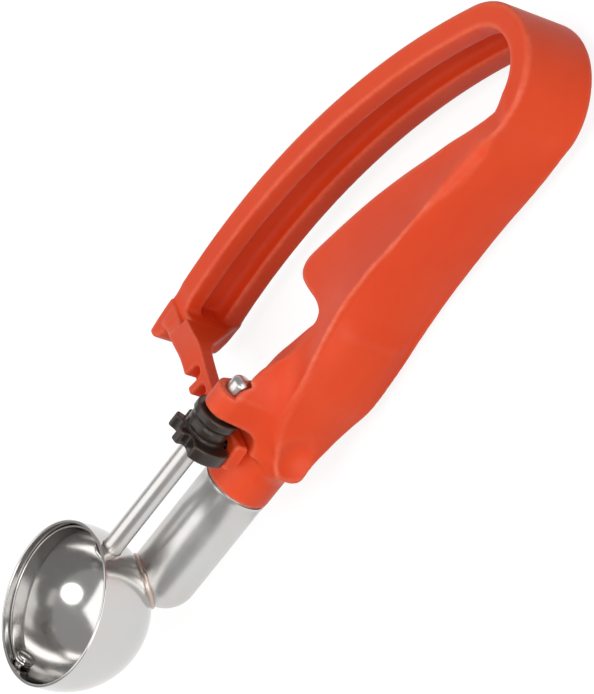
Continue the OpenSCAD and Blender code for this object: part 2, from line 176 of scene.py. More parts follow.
def both(a, b, r):
    """Field of what is inside a and b, their common edge rounded to radius r: inside the rounding the
    distance is measured from the centre line of the round."""
    return np.minimum(np.maximum(a, b), -r) + np.hypot(np.maximum(a + r, 0), np.maximum(b + r, 0))


def joined(a, b, k):
    """Field of a and b together; where they differ by less than k a fillet of k/4 grows in the corner."""
    return np.minimum(a, b) - np.maximum(k - np.abs(a - b), 0) ** 2 / (4 * k)


def cut(a, b, k):
    """Field of a with b taken away, the edges softened by k/4."""
    return -joined(-a, b, k)


def skin(field, low, high, pitch, rounds=3):
    """Closed mesh of the surface on which field(x, y, z) is nought. The box is divided into cells of
    side pitch. Each cell that the surface crosses gets one vertex, at the mean of the points where its
    edges are crossed; each crossed edge gets a quad between the four cells round it. Then each vertex
    moves along the field's slope by field / slope, which puts it on the surface."""
    low = np.array(low, float)
    counts = np.ceil((np.array(high) - low) / pitch).astype(int) + 1
    axes = [low[i] + pitch * np.arange(counts[i]) for i in range(3)]
    values = field(*np.meshgrid(*axes, indexing="ij"))
    values = np.pad(values[1:-1, 1:-1, 1:-1], 1, constant_values=pitch)
    spots, rings = [], []
    for axis in range(3):
        near = np.take(values, np.arange(counts[axis] - 1), axis)
        far = np.take(values, np.arange(1, counts[axis]), axis)
        edge = np.argwhere((near < 0) != (far < 0))
        a, b = near[tuple(edge.T)], far[tuple(edge.T)]
        spot = edge.astype(float)
        spot[:, axis] += a / (a - b)
        u, v = np.roll(np.eye(3, dtype=int), -axis - 1, 0)[:2]
        ring = np.stack([edge, edge - u, edge - u - v, edge - v], 1)
        ring[a >= 0] = ring[a >= 0][:, ::-1]
        spots.append(spot)
        rings.append(ring)
    spots, rings = np.concatenate(spots), np.concatenate(rings)
    keys = np.ravel_multi_index(tuple(np.moveaxis(rings, 2, 0)), counts)
    cells, quads = np.unique(keys, return_inverse=True)
    quads = quads.reshape(-1, 4)
    shares = np.bincount(quads.ravel(), minlength=len(cells))
    points = np.stack([np.bincount(quads.ravel(), np.repeat(spots[:, c], 4)) / shares for c in range(3)], 1)
    points = low + pitch * points
    for _ in range(rounds):
        value, slope = field(*points.T), field_slope(field, points)
        move = np.clip(value / np.maximum((slope**2).sum(1), 0.05), -0.3 * pitch, 0.3 * pitch)
        points = points - move[:, None] * slope
    return points, quads


def field_slope(field, points, reach=0.04):
    """Slope of a field at points: the difference of its values a little ahead and behind, per axis."""
    slope = np.empty_like(points)
    for axis in range(3):
        ahead, behind = points.copy(), points.copy()
        ahead[:, axis] += reach
        behind[:, axis] -= reach
        slope[:, axis] = (field(*ahead.T) - field(*behind.T)) / (2 * reach)
    return slope


def placed(name, data):
    """New object in the scene for a mesh, a lamp or a camera."""
    thing = bpy.data.objects.new(name, data)
    bpy.context.scene.collection.objects.link(thing)
    return thing


def piece(name, points, faces, material):
    """Smooth-shaded Blender mesh object from an array of points in millimetres and one of faces."""
    mesh = bpy.data.meshes.new(name)
    mesh.from_pydata((points * MM).tolist(), [], faces.tolist())
    mesh.polygons.foreach_set("use_smooth", np.full(len(mesh.polygons), True))
    mesh.update()
    mesh.materials.append(material)
    return placed(name, mesh)


def sharp_above(thing, degrees):
    """Edges between faces that turn by more than this angle stay crisp."""
    thing.data.set_sharp_from_angle(angle=np.radians(degrees))


def vertex_vectors(mesh, kind):
    """Array of one vector per vertex, its place or its normal."""
    values = np.empty(len(mesh.vertices) * 3)
    mesh.vertices.foreach_get(kind, values)
    return values.reshape(-1, 3)


def paint_mask(mesh, name, values):
    """Attribute with one value from 0 to 1 per vertex."""
    layer = mesh.attributes.new(name, "FLOAT", "POINT")
    layer.data.foreach_set("value", values.astype(np.float32))


# This mask makes the outer edges paler: partly rubbed wear, partly a painted highlight along the creases.
def rubbed_and_highlit_edges(thing, spread, gain):
    """Attribute 'edge', 0 on flat places and up to 1 on outer edges: how far each vertex stands out
    from the mean of its neighbours along its normal, smoothed by averaging with them."""
    mesh = thing.data
    count = len(mesh.vertices)
    co, no = vertex_vectors(mesh, "co") / MM, vertex_vectors(mesh, "normal")
    pairs = np.empty(len(mesh.edges) * 2, int)
    mesh.edges.foreach_get("vertices", pairs)
    a, b = pairs.reshape(-1, 2).T
    ends, others = np.concatenate([a, b]), np.concatenate([b, a])
    valence = np.maximum(np.bincount(ends, minlength=count), 1)
    mean = np.stack([np.bincount(ends, co[others, c], count) / valence for c in range(3)], 1)
    stand = np.clip(((co - mean) * no).sum(1) * gain, -1, 1)
    for _ in range(spread):
        stand = 0.5 * stand + 0.5 * np.bincount(ends, stand[others], count) / valence
    paint_mask(mesh, "edge", np.clip(stand, 0, 1))


# Maps of the moulding seen from its side, on a lattice of the x, y plane
MAP_LOW, MAP_HIGH, MAP_PITCH = (43.0, -17.0), (179.0, 53.0), 0.25
map_x, map_y = np.meshgrid(*(np.arange(low, high, MAP_PITCH) for low, high in zip(MAP_LOW, MAP_HIGH)),
                           indexing="ij")
back_line = np.linspace(GRIP_BACK[0, 0], LOW_BEND[0] - 0.5, 90)
top_count = len(GRIP_TOP)
top_table = np.column_stack([np.arange(top_count), GRIP_TOP])
top_share = np.linspace(0, top_count - 1, 4 * top_count)
top_line = np.stack([smooth_table(top_table, top_share, column) for column in (1, 2)], 1)
strap_turn = np.radians(np.linspace(NOSE_TURN, JOIN_TURN, 90))
strap_reach = STRAP_ARC[2] + NOSE_FLARE * step(np.degrees(strap_turn), FLARE_TURN, NOSE_TURN)
strap_way = np.stack([np.cos(strap_turn), np.sin(strap_turn)], 1)
side_outline = np.concatenate([
    STRAP_ARC[:2] + strap_reach[:-1, None] * strap_way[:-1],
    arc(TOP_BEND, JOIN_TURN, 0, 30)[:-1],
    arc(LOW_BEND, 0, -90, 36)[:-1],
    np.stack([back_line, smooth_table(GRIP_BACK, back_line)], 1)[::-1],
    top_line[::-1],
    arc(LOW_BEND, -90, 0, 30, LOOP_WALL)[:-1],
    arc(TOP_BEND, 0, JOIN_TURN, 24, LOOP_WALL)[:-1],
    arc(STRAP_ARC, JOIN_TURN, INNER_TURN, 80, LOOP_WALL),
    NOSE[::-1]])

width_back = smooth_table(GRIP_BACK, map_x, 2)
swell = np.clip(1 - (map_y - smooth_table(GRIP_BACK, map_x)) / smooth_table(SIDE_DEPTH, map_x), 0, 1)
width_top = np.minimum(width_back, TOP_HALF + TOP_GROWTH * step(map_x, *TOP_WIDENS))
grip_half = width_top + (width_back - width_top) * swell**2
low_half = BEND_HALF[0] + (BEND_HALF[1] - BEND_HALF[0]) * step(map_x, LOW_BEND[0], REAR)
grip_half = np.where(map_x > LOW_BEND[0],
                     np.minimum(low_half, grip_half + (map_x - LOW_BEND[0]) * BEND_SPREAD), grip_half)
strap_half = STRAP_HALF[0] + (STRAP_HALF[1] - STRAP_HALF[0]) * (map_x - STRAP_FRONT) / (REAR - STRAP_FRONT)
strap_half = strap_half + NOSE_FLARE / 2 * (1 - step(map_x, *FLARE_LENGTH))
on_strap = step(map_y + SEAM_SLOPE * map_x, *STRAP_SHARE)
on_grip = 1 - on_strap
half_width = grip_half * on_grip + strap_half * on_strap
steepness = np.hypot(1, np.hypot(*np.gradient(half_width, MAP_PITCH)))
corner = np.minimum(GRIP_CORNER * on_grip + STRAP_CORNER * on_strap, CORNER_LIMIT * half_width)
soft_part = step(map_x, *SOFT_START) * (1 - step(map_x, *SOFT_END)) * step(swell, *SOFT_SWELL)
soft_part = SOFT_EDGE * soft_part * on_grip
swell_out = (CROWN * np.minimum(1, width_back / PALM_HALF) * (1 - step(map_x, *CROWN_END))
             * step(swell, *CROWN_SWELL) * on_grip)
side_distance = outline_distance(side_outline, map_x, map_y)
side_field, half_field, steep_field, corner_field, crown_field, soft_field = (
    side_map(values, MAP_LOW, MAP_PITCH)
    for values in (side_distance, half_width, steepness, corner, swell_out, soft_part))

# Channel in the strap's inner side: a trough with rounded corners that fades out in the rear bend
CHANNEL_HALF, CHANNEL_DEEP, CHANNEL_POWER = 3.6, 3.9, 3.0
CHANNEL_FRONT = (50.0, 56.0)  # x over which it starts behind the foot
CHANNEL_END = (8.0, 40.0)  # degrees of the rear bend over which it fades
CHANNEL_SHALLOW, NO_CHANNEL = 0.3, 5.0  # a shallower trough than this is left out
CHANNEL_SLOPE = 0.85  # brings the share back to about a distance
CHANNEL_MOUTH = 1.5  # the trough is open this far into the loop


def channel(x, y, across):
    """Field of the channel: depth and offset from the middle, each as a share of its limit and raised
    to a power, add up to one on its wall."""
    from_arc, from_top, from_low = (np.hypot(x - bend[0], y - bend[1]) - (bend[2] - LOOP_WALL)
                                    for bend in (STRAP_ARC, TOP_BEND, LOW_BEND))
    turn = np.degrees(np.arctan2(y - TOP_BEND[1], x - TOP_BEND[0]))
    deep = np.where(turn > JOIN_TURN, from_arc, np.where(turn > 0, from_top, from_low))
    limit = CHANNEL_DEEP * step(turn, *CHANNEL_END) * step(x, *CHANNEL_FRONT)
    share = ((np.maximum(deep, 0) / np.maximum(limit, 0.05)) ** CHANNEL_POWER
             + (np.abs(across) / CHANNEL_HALF) ** CHANNEL_POWER)
    trough = (np.minimum(share, 60) ** (1 / CHANNEL_POWER) - 1) * np.maximum(limit, 0.8) * CHANNEL_SLOPE
    return np.maximum(np.where(limit < CHANNEL_SHALLOW, NO_CHANNEL, trough), -CHANNEL_MOUTH - deep)


# Housing: collar over the tube, boss for the rod, web under the drum, and the fairing into the grip
COLLAR_R, COLLAR_ROUND, BOSS_R = 8.15, 0.3, 4.4
COLLAR_X, COLLAR_MIDDLE = 46.2, 57  # front end and middle of the collar
WEB_X, BOSS_X, BOSS_END, NECK_END = 58.4, 63.7, 69.8, 96
NECK_SIDE, NECK_HALF, NECK_ROUND = -1.3, (4.3, 7.4), 2.5  # the neck's middle in y, half sizes in y and z
FAIRING = (71.0, 91.5)  # x over which the tower turns into the neck
RIDGE_X, RIDGE_Y, RIDGE_FALL, RIDGE_BEND = 75.0, -1.75, -0.13, -0.0085
RIDGE_FRONT, RIDGE_SLOPE, RIDGE_ROUND = -6, 1.44, 1.5
ROOM_ROUND, ROOM_FLOOR, ROOM_FRONT = 4.8, -9.3, 57.2  # the room for drum and rack
ROD_HOLE_R, HOLE_MIDDLE, HOLE_HALF = 2.46, 66, 5
TROUGH_END, TROUGH_R = 73.95, 2.7
RIM_Z, RIM_BACK, RIM_ROUND = 1.3, 74.1, 3.0
SCOOP_AT, SCOOP_R = (65.3, -16.3, -16.3), 7.1  # round dent under the lip
EDGE, FILLET, HOUSING_FILLET = 0.4, 1.0, 5.0  # small edge round; fillets in the housing and to the grip
HOLLOW_EDGE, SCOOP_EDGE, CHANNEL_EDGE = 0.8, 1.2, 1.0


def tower(y, z):
    """Distance to the outline round two circles, the boss at the rod and the collar's round below it,
    and the two straight lines that touch both."""
    slope = (BOSS_R - COLLAR_R) / AXIS_DROP
    along = np.sqrt(1 - slope * slope)
    side = np.abs(y)
    k = -slope * side - along * z
    return np.where(k < 0, np.hypot(side, z) - BOSS_R,
                    np.where(k > along * AXIS_DROP, np.hypot(side, z + AXIS_DROP) - COLLAR_R,
                             side * along - z * slope - BOSS_R))


def housing(x, y, z):
    """Field of the housing: collar, and tower section that turns into the grip's neck along the
    fairing. Its top falls from a ridge on the near side, where y + z is a quadratic of x."""
    collar = both(np.hypot(y, z + AXIS_DROP) - COLLAR_R,
                  np.abs(x - COLLAR_MIDDLE) - (COLLAR_MIDDLE - COLLAR_X), COLLAR_ROUND)
    share = np.clip((x - FAIRING[0]) / (FAIRING[1] - FAIRING[0]), 0, 1)
    neck = both(np.abs(y - NECK_SIDE) - NECK_HALF[0], np.abs(z + AXIS_DROP) - NECK_HALF[1], NECK_ROUND)
    raised = both(tower(y, z) * (1 - share) + neck * share, np.maximum(WEB_X - x, x - NECK_END), EDGE)
    back = np.maximum(x - RIDGE_X, RIDGE_FRONT)
    ridge = (y + z - RIDGE_Y - RIDGE_FALL * back - RIDGE_BEND * back**2) / RIDGE_SLOPE
    raised = np.where(x < BOSS_END, raised, both(raised, ridge, RIDGE_ROUND))
    return joined(collar, raised, FILLET)


def hollows(x, y, z):
    """Field of what the housing leaves open: the room for drum and rack with its rounded end, the hole
    for the rod, and the trough round the rod's end, open above and towards the strap."""
    rod = np.hypot(y, z)
    room = np.maximum(both(x - BOSS_X, ROOM_FLOOR - z, ROOM_ROUND), ROOM_FRONT - x)
    hole = np.maximum(rod - ROD_HOLE_R, np.abs(x - HOLE_MIDDLE) - HOLE_HALF)
    rim = np.maximum(both(BOSS_END - x, RIM_Z - z, RIM_ROUND), x - RIM_BACK)
    trough = both(np.maximum(BOSS_END - x, x - TROUGH_END), rod - TROUGH_R, EDGE)
    return np.minimum(np.minimum(room, hole), np.minimum(rim, trough))


# Foot and rack at the strap's front: an arc-shaped bar about the flex point, with one notch per tooth
FLEX = (169.843, 3.612)
RACK_OUT, RACK_IN, RACK_TOP, RACK_BACK = 117.45, 110.443, -5.35, -8.9
SPREAD_OUT, SPREAD_IN, SPREAD_TOP, SPREAD_BACK = 7.6, 7.4, 3.45, 16.6  # growth of its four sides
RACK_LOW, FOOT_START, FOOT_TURN, FOOT_OVER = -4.957, 12.0, 19.5, 1.2  # degrees; it ends inside the strap
FOOT_BLEND, FOOT_BLEND_TURN = 0.06, 1.6  # softens the bend where the spread starts
FOOT_SINK, SINK_FROM = 20, 0.9  # both flat sides sink below the strap's at the end
FOOT_LEAN, FOOT_EDGE, END_EDGE, END_LENGTH, FOOT_END_ROUND = 0.2, 0.4, 0.8, 2.2, 0.7
FOOT_DEPTH, DEPTH_ROUND = 2.5, 0.5  # reach into the strap
FOOT_FILLET, FOOT_LOW = 1.6, 30  # fillet to the strap, and lowest y there
NOTCH_LEN, NOTCH_HALF, NOTCH_FLOOR, NOTCH_ROUND = 4.9, 1.7, -8.4, 1.5
NOTCH_FIRST, NOTCH_STEP, NOTCHES = -2.43, 2.8313, 5
SEAM = 47.0  # the foot's seam is the plane where y + slope x has this value
ELSEWHERE = 50  # added to a field where its form is left out


def turn_and_reach(x, y):
    """Polar coordinates about the flex point: degrees from -x towards +y, and distance."""
    turn = 180 - np.degrees(np.arctan2(y - FLEX[1], x - FLEX[0]) % (2 * np.pi))
    return turn, np.hypot(x - FLEX[0], y - FLEX[1])


def foot(x, y, z):
    """Field of the foot: a bar with rounded edges in polar coordinates about the flex point, whose four
    sides spread evenly with the turn until they reach the whole width of the strap."""
    turn, r = turn_and_reach(x, y)
    share = np.clip((turn - FOOT_START) / (FOOT_TURN - FOOT_START), 0, 1.2)
    share = share + FOOT_BLEND * np.maximum(1 - np.abs(turn - FOOT_START) / FOOT_BLEND_TURN, 0) ** 2
    inner, outer = RACK_IN + SPREAD_IN * share, RACK_OUT + SPREAD_OUT * share
    sink = FOOT_SINK * np.maximum(share - SINK_FROM, 0) ** 2
    top = RACK_TOP - SPREAD_TOP * np.minimum(share, 1) - sink
    back = RACK_BACK - SPREAD_BACK * np.minimum(share, 1) + sink
    sides = both(np.abs(r - (inner + outer) / 2) - (outer - inner) / 2,
                 (np.abs(z - (top + back) / 2) - (top - back) / 2) * (1 - FOOT_LEAN * share),
                 FOOT_EDGE + END_EDGE * (1 - step(turn, RACK_LOW, RACK_LOW + END_LENGTH)))
    ends = np.maximum(RACK_LOW - turn, turn - FOOT_TURN - FOOT_OVER) * np.radians(1) * r
    under = np.hypot(x - STRAP_ARC[0], y - STRAP_ARC[1]) - STRAP_ARC[2] + FOOT_DEPTH
    return both(both(sides, ends, FOOT_END_ROUND), under, DEPTH_ROUND)


def notches(x, y, z):
    """Field of the notches: slots from the rack's front edge with round blind ends, one each step."""
    turn, r = turn_and_reach(x, y)
    i = np.clip(np.round((turn - NOTCH_FIRST) / NOTCH_STEP), 0, NOTCHES - 1)
    off = np.radians(turn - NOTCH_FIRST - i * NOTCH_STEP) * r
    slot = both(np.abs(off) - NOTCH_HALF, RACK_OUT - NOTCH_LEN - r, NOTCH_ROUND)
    return np.maximum(slot, NOTCH_FLOOR - z)


def strap_and_grip(x, y, z):
    """Field of the long swept body: side outline, half width at each place of the side view, rounded
    edges, a crowned back and the channel."""
    across = z + AXIS_DROP
    rise = crown_field(x, y) * np.clip(1 - (across / CROWN_HALF) ** 2, 0, 1)
    edge = side_field(x, y + rise)
    sides = (np.abs(across) - half_field(x, y)) / steep_field(x, y)
    corner = corner_field(x, y) + soft_field(x, y) * step(across, -3, 3)
    return cut(both(edge, sides, corner), channel(x, y, across), CHANNEL_EDGE)


def moulding(x, y, z):
    """Field of the whole moulding without the rack's notches."""
    arm = foot(x, y, z) + ELSEWHERE * (y < FOOT_LOW)
    body = joined(joined(strap_and_grip(x, y, z), arm, FOOT_FILLET), housing(x, y, z), HOUSING_FILLET)
    scoop = np.sqrt((x - SCOOP_AT[0]) ** 2 + (y - SCOOP_AT[1]) ** 2 + (z - SCOOP_AT[2]) ** 2) - SCOOP_R
    return cut(cut(body, hollows(x, y, z), HOLLOW_EDGE), scoop, SCOOP_EDGE)


def rack(x, y, z):
    """Field of the strap's front with the foot and the notched rack."""
    strap = strap_and_grip(x, y, z) + ELSEWHERE * (y < FOOT_LOW)
    return cut(joined(strap, foot(x, y, z), FOOT_FILLET), notches(x, y, z), HOLLOW_EDGE)


def shorten(thing, low, high, side):
    """Cuts a piece at the seam plane, closes the cut, and keeps the part below it for side 1 or above
    it for side -1. Only faces between the two corners of a box are touched."""
    shape = bmesh.new()
    shape.from_mesh(thing.data)
    faces = [f for f in shape.faces
             if all(a * MM < c < b * MM for a, c, b in zip(low, f.calc_center_median(), high))]
    parts = dict.fromkeys(part for f in faces for part in (*f.verts, *f.edges, f))
    made = bmesh.ops.bisect_plane(shape, geom=list(parts), plane_co=Vector((0, SEAM * MM, 0)),
                                  plane_no=Vector((SEAM_SLOPE, 1, 0)) * side, clear_outer=True)
    rim = [e for e in made["geom_cut"] if isinstance(e, bmesh.types.BMEdge)]
    closed = bmesh.ops.holes_fill(shape, edges=rim)
    for f in closed["faces"]:
        f.smooth = False
        for e in f.edges:
            e.smooth = False
    shape.to_mesh(thing.data)
    shape.free()


def surface_group(name, given):
    """Shader node group with the given (name, kind, value) inputs that puts out a colour, a roughness
    and a height; returns it with the sockets at its two ends."""
    group = bpy.data.node_groups.new(name, "ShaderNodeTree")
    for label, kind, value in given:
        made = group.interface.new_socket(name=label, in_out="INPUT", socket_type="NodeSocket" + kind)
        made.default_value = value
    for label, kind in (("Colour", "Color"), ("Roughness", "Float"), ("Height", "Float")):
        group.interface.new_socket(name=label, in_out="OUTPUT", socket_type="NodeSocket" + kind)
    return group, group.nodes.new("NodeGroupInput").outputs, group.nodes.new("NodeGroupOutput").inputs


def wire(tree, *pairs):
    """Links each (from socket, to socket) pair."""
    for a, b in pairs:
        tree.links.new(a, b)


def node(tree, kind, **values):
    """Adds a shader node, sets its attributes, and sets sockets by name with a leading underscore."""
    made = tree.nodes.new("ShaderNode" + kind)
    for key, value in values.items():
        if key.startswith("_"):
            made.inputs[key[1:].replace("_", " ")].default_value = value
        else:
            setattr(made, key, value)
    return made


def noise(tree, place, scale, detail, roughness=0.55):
    """Noise texture read at the given coordinates, as its factor socket."""
    made = node(tree, "TexNoise", _Scale=scale, _Detail=detail, _Roughness=roughness)
    wire(tree, (place, made.inputs["Vector"]))
    return made.outputs["Fac"]


def spread(tree, value, low, high, to_low=0.0, to_high=1.0):
    """Maps a value from one range to another, clamped."""
    made = node(tree, "MapRange")
    wire(tree, (value, made.inputs["Value"]))
    for label, number in zip(("From Min", "From Max", "To Min", "To Max"), (low, high, to_low, to_high)):
        made.inputs[label].default_value = number
    return made.outputs["Result"]


def mixed(tree, share, a, b):
    """Mixes two colours; share, a and b are sockets or plain values."""
    made = node(tree, "Mix", data_type="RGBA")
    factor, first, second, result = made.inputs[0], made.inputs[6], made.inputs[7], made.outputs[2]
    for socket, value in ((factor, share), (first, a), (second, b)):
        if isinstance(value, bpy.types.NodeSocket):
            wire(tree, (value, socket))
        else:
            socket.default_value = value
    return result


def reckoned(tree, operation, a, b):
    """Math node on two sockets, as its result."""
    made = node(tree, "Math", operation=operation)
    wire(tree, (a, made.inputs[0]), (b, made.inputs[1]))
    return made.outputs[0]


# The second colour is the pale one of the edges: rubbed wear and a painted highlight along the creases.
WHITE, PALE_RUB_AND_HIGHLIGHT = (1, 1, 1, 1), (1.0, 0.62, 0.42, 1)
CLOUDS, SCUFFS, SPECKS, MOULD_GRAIN = 45, 260, 700, 2600  # noise cells per metre
CLOUD_SPAN, SCUFF_SPAN, SPECK_SPAN = (0.35, 0.68), (0.56, 0.74), (0.4, 0.7)
PALE_EDGE_SHARE, PALE_EDGE_SPAN = 0.45, (0.3, 0.55)  # how pale an edge gets, as rubbed wear and painted highlight, and how much of it is paled
CLOUD_SHEEN, SCUFF_SHEEN = (-0.03, 0.04), (0, 0.09)  # change of roughness


def moulded_surface():
    """Group for moulded plastic: cloudy colour, a slight sheen change and the fine grain of the mould."""
    group, given, out = surface_group("moulded_surface", [
        ("Colour", "Color", WHITE), ("Deep Colour", "Color", WHITE), ("Roughness", "Float", 0.4),
        ("Grain", "Float", 0.5), ("Edge", "Float", 0.0)])
    place = node(group, "TexCoord").outputs["Object"]
    cloud = spread(group, noise(group, place, CLOUDS, 4), *CLOUD_SPAN)
    fine = noise(group, place, MOULD_GRAIN, 2, 0.6)
    scuff = spread(group, noise(group, place, SCUFFS, 6, 0.7), *SCUFF_SPAN)
    base = mixed(group, cloud, given["Colour"], given["Deep Colour"])
    # Edges turn pale where the 'edge' mask says: rubbed wear, and a painted highlight along the creases.
    pale = mixed(group, PALE_EDGE_SHARE, base, PALE_RUB_AND_HIGHLIGHT)
    specks = spread(group, noise(group, place, SPECKS, 4), *SPECK_SPAN, *PALE_EDGE_SPAN)
    rub = reckoned(group, "MULTIPLY", given["Edge"], specks)
    rough = reckoned(group, "ADD", given["Roughness"], spread(group, cloud, 0, 1, *CLOUD_SHEEN))
    sheen = reckoned(group, "ADD", rough, spread(group, scuff, 0, 1, *SCUFF_SHEEN))
    wire(group, (mixed(group, rub, base, pale), out["Colour"]), (sheen, out["Roughness"]),
         (reckoned(group, "MULTIPLY", fine, given["Grain"]), out["Height"]))
    return group


MOULD_RELIEF, PLASTIC_IOR = 0.00004, 1.42  # relief in metres


def bare(name):
    """New material, with its node tree and its Principled BSDF."""
    material = bpy.data.materials.new(name)
    material.use_nodes = True
    return material, material.node_tree, material.node_tree.nodes["Principled BSDF"]


def dressed(name, group, relief, bump, mask, **values):
    """New material whose Principled BSDF takes colour, roughness and bump from a group that is given
    these values and one of the piece's own attributes; returns the material and its BSDF."""
    material, tree, body = bare(name)
    effect = node(tree, "Group", node_tree=group)
    for label, value in values.items():
        effect.inputs[label.replace("_", " ")].default_value = value
    raised = node(tree, "Bump", _Strength=bump, _Distance=relief)
    painted = node(tree, "Attribute", attribute_name=mask)
    wire(tree, (painted.outputs["Fac"], effect.inputs[mask.capitalize()]),
         (effect.outputs["Colour"], body.inputs["Base Color"]),
         (effect.outputs["Roughness"], body.inputs["Roughness"]),
         (effect.outputs["Height"], raised.inputs["Height"]),
         (raised.outputs["Normal"], body.inputs["Normal"]))
    return material, body


def plastic(name, colour, deep, roughness, grain, bump):
    """Moulded plastic with its edges paler where attribute 'edge' says: rubbed wear and a painted
    highlight.
    """
    material, body = dressed(name, moulded, MOULD_RELIEF, bump, "edge",
                             Colour=colour, Deep_Colour=deep, Roughness=roughness, Grain=grain)
    body.inputs["IOR"].default_value = PLASTIC_IOR
    return material


moulded = moulded_surface()
ORANGE, DEEP_ORANGE = (0.79, 0.064, 0.008, 1), (0.74, 0.053, 0.006, 1)
orange = plastic("orange_nylon", ORANGE, DEEP_ORANGE, 0.50, 0.8, 0.35)

# Low and high corner of the boxes that hold the surfaces, side of their cells, and where they are cut
BODY_BOX, BODY_PITCH, BODY_CUT = ((44, -17, -32), (177.5, 52, 6.5)), 0.5, ((44, 30, -40), (70, 60, 8))
RACK_BOX, RACK_PITCH, RACK_CUT = ((47, -8, -28), (66, 47, -3)), 0.25, ((40, -20, -40), (80, 60, 8))

handle = piece("handle_moulding", *skin(moulding, *BODY_BOX, BODY_PITCH), orange)
shorten(handle, *BODY_CUT, -1)
# Paler outer edges: rubbed wear and a painted highlight along the creases.
rubbed_and_highlit_edges(handle, 2, 10)
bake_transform(handle)
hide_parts("grip_handle", "squeeze_strap")

rack_arm = piece("rack_arm", *skin(rack, *RACK_BOX, RACK_PITCH), orange)
shorten(rack_arm, *RACK_CUT, 1)
# Paler outer edges: rubbed wear and a painted highlight along the creases.
rubbed_and_highlit_edges(rack_arm, 3, 20)
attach(rack_arm, "strap")

# --------------------
# Shank tube, brazed bead and rod: drawn stainless tube and bar, polished along their length. The tube's
# round end is fitted to the outside of the bowl and brazed there; the rod runs beside it through the
# housing, and its domed end shows behind the boss.

BOWL_R, TUBE_R, DOME_X, TUBE_BACK = 19.498, 7.95, 16.457, 60.0
TUBE_SINK = 0.35  # depth that the tube's round end sinks into the bowl's outline
BEAD_AT, BEAD_R, BEAD_WIRE, BEAD_TILT = (12.76, 0.0, -13.55), 5.89, 0.88, (0.686, 0.0, -0.729)
bead_normal = np.array(BEAD_TILT) / np.linalg.norm(BEAD_TILT)


def surface_of(grid, wrap_first=False, wrap_second=True):
    """Points of a grid of shape (rows, columns, 3), and the quads between them."""
    rows, columns = grid.shape[:2]
    i, j = np.meshgrid(np.arange(rows - (not wrap_first)), np.arange(columns - (not wrap_second)),
                       indexing="ij")
    below, beside = (i + 1) % rows, (j + 1) % columns
    corners = [i * columns + j, i * columns + beside, below * columns + beside, below * columns + j]
    return grid.reshape(-1, 3), np.stack(corners, -1).reshape(-1, 4)


def full_turn(count):
    """Angles of one turn in even steps, in radians, without the last, which is the first again."""
    return np.linspace(0, 2 * np.pi, count, endpoint=False)


def lathe(profile, axis, count):
    """Surface swept by turning a profile of (along, out) points about an axis through the origin:
    each point goes to along * axis + out * (cos a * u + sin a * v)."""
    axis = np.array(axis, float)
    u = np.cross(axis, (0.0, 1.0, 0.0))
    v = np.cross(axis, u)
    a = full_turn(count)[:, None]
    turn = np.cos(a) * u + np.sin(a) * v
    profile = np.array(profile, float)
    return surface_of(profile[None, :, :1] * axis + profile[None, :, 1:] * turn[:, None, :], True, False)


def close_up(thing, parts):
    """Puts the meshes of the parts into the thing's own, merges what lies on one spot, and turns the
    faces outwards."""
    shape = bmesh.new()
    for part in parts:
        shape.from_mesh(part.data)
    bmesh.ops.remove_doubles(shape, verts=shape.verts, dist=1e-7)
    bmesh.ops.dissolve_degenerate(shape, edges=shape.edges, dist=1e-8)
    bmesh.ops.recalc_face_normals(shape, faces=shape.faces)
    shape.to_mesh(thing.data)
    shape.free()


def lathe_piece(name, profile, axis, count, material, sharp=40):
    """Object of a lathe surface with closed poles, crisp where it turns by more than sharp degrees."""
    thing = piece(name, *lathe(profile, axis, count), material)
    close_up(thing, [thing])
    sharp_above(thing, sharp)
    return thing


SCRATCHES, POLISH, FINGERS = 900, 70, 190  # noise cells per metre
POLISH_SPAN, FINGER_SPAN, SCRATCH_SPAN = (0.35, 0.7), (0.5, 0.8), (0.3, 0.7)
FINGER_DULL, SCRATCH_DULL = (0, 0.07), (-0.015, 0.03)  # change of roughness


def drawn_metal():
    """Group for polished steel: faint long scratches along a direction, cloudy polish, finger dulling,
    and the tint of heat."""
    group, given, out = surface_group("drawn_metal", [
        ("Colour", "Color", WHITE), ("Warm Colour", "Color", WHITE), ("Roughness", "Float", 0.15),
        ("Stretch", "Vector", (1, 1, 1)), ("Warmth", "Float", 0.3), ("Heat", "Float", 0.0),
        ("Heat Colour", "Color", WHITE)])
    place = node(group, "TexCoord").outputs["Object"]
    long = node(group, "VectorMath", operation="MULTIPLY")
    wire(group, (place, long.inputs[0]), (given["Stretch"], long.inputs[1]))
    lines = noise(group, long.outputs[0], SCRATCHES, 3, 0.6)
    cloud = spread(group, noise(group, place, POLISH, 3), *POLISH_SPAN)
    dull = spread(group, noise(group, place, FINGERS, 5, 0.65), *FINGER_SPAN)
    warm = reckoned(group, "MULTIPLY", cloud, given["Warmth"])
    polish = reckoned(group, "ADD", given["Roughness"], spread(group, dull, 0, 1, *FINGER_DULL))
    rub = reckoned(group, "ADD", polish, spread(group, lines, *SCRATCH_SPAN, *SCRATCH_DULL))
    base = mixed(group, warm, given["Colour"], given["Warm Colour"])
    wire(group, (mixed(group, given["Heat"], base, given["Heat Colour"]), out["Colour"]),
         (rub, out["Roughness"]), (lines, out["Height"]))
    return group


METAL_RELIEF = 0.00002  # in metres


def metal(name, colour, warm, roughness, stretch, warmth, bump):
    """Polished metal, tinted where attribute 'heat' says."""
    material, body = dressed(name, drawn, METAL_RELIEF, bump, "heat", Colour=colour, Warm_Colour=warm,
                             Roughness=roughness, Stretch=stretch, Warmth=warmth, Heat_Colour=HEATED)
    body.inputs["Metallic"].default_value = 1.0
    return material


def tint(thing):
    """Attribute 'heat': the straw and copper tint that brazing leaves, e^-(d / HEAT_REACH)^2 of the
    distance d to the brazed ring."""
    away = vertex_vectors(thing.data, "co") / MM - BEAD_AT
    up = away @ bead_normal
    distance = np.hypot(up, np.linalg.norm(away - up[:, None] * bead_normal, axis=1) - BEAD_R)
    paint_mask(thing.data, "heat", np.exp(-((distance / HEAT_REACH) ** 2)))


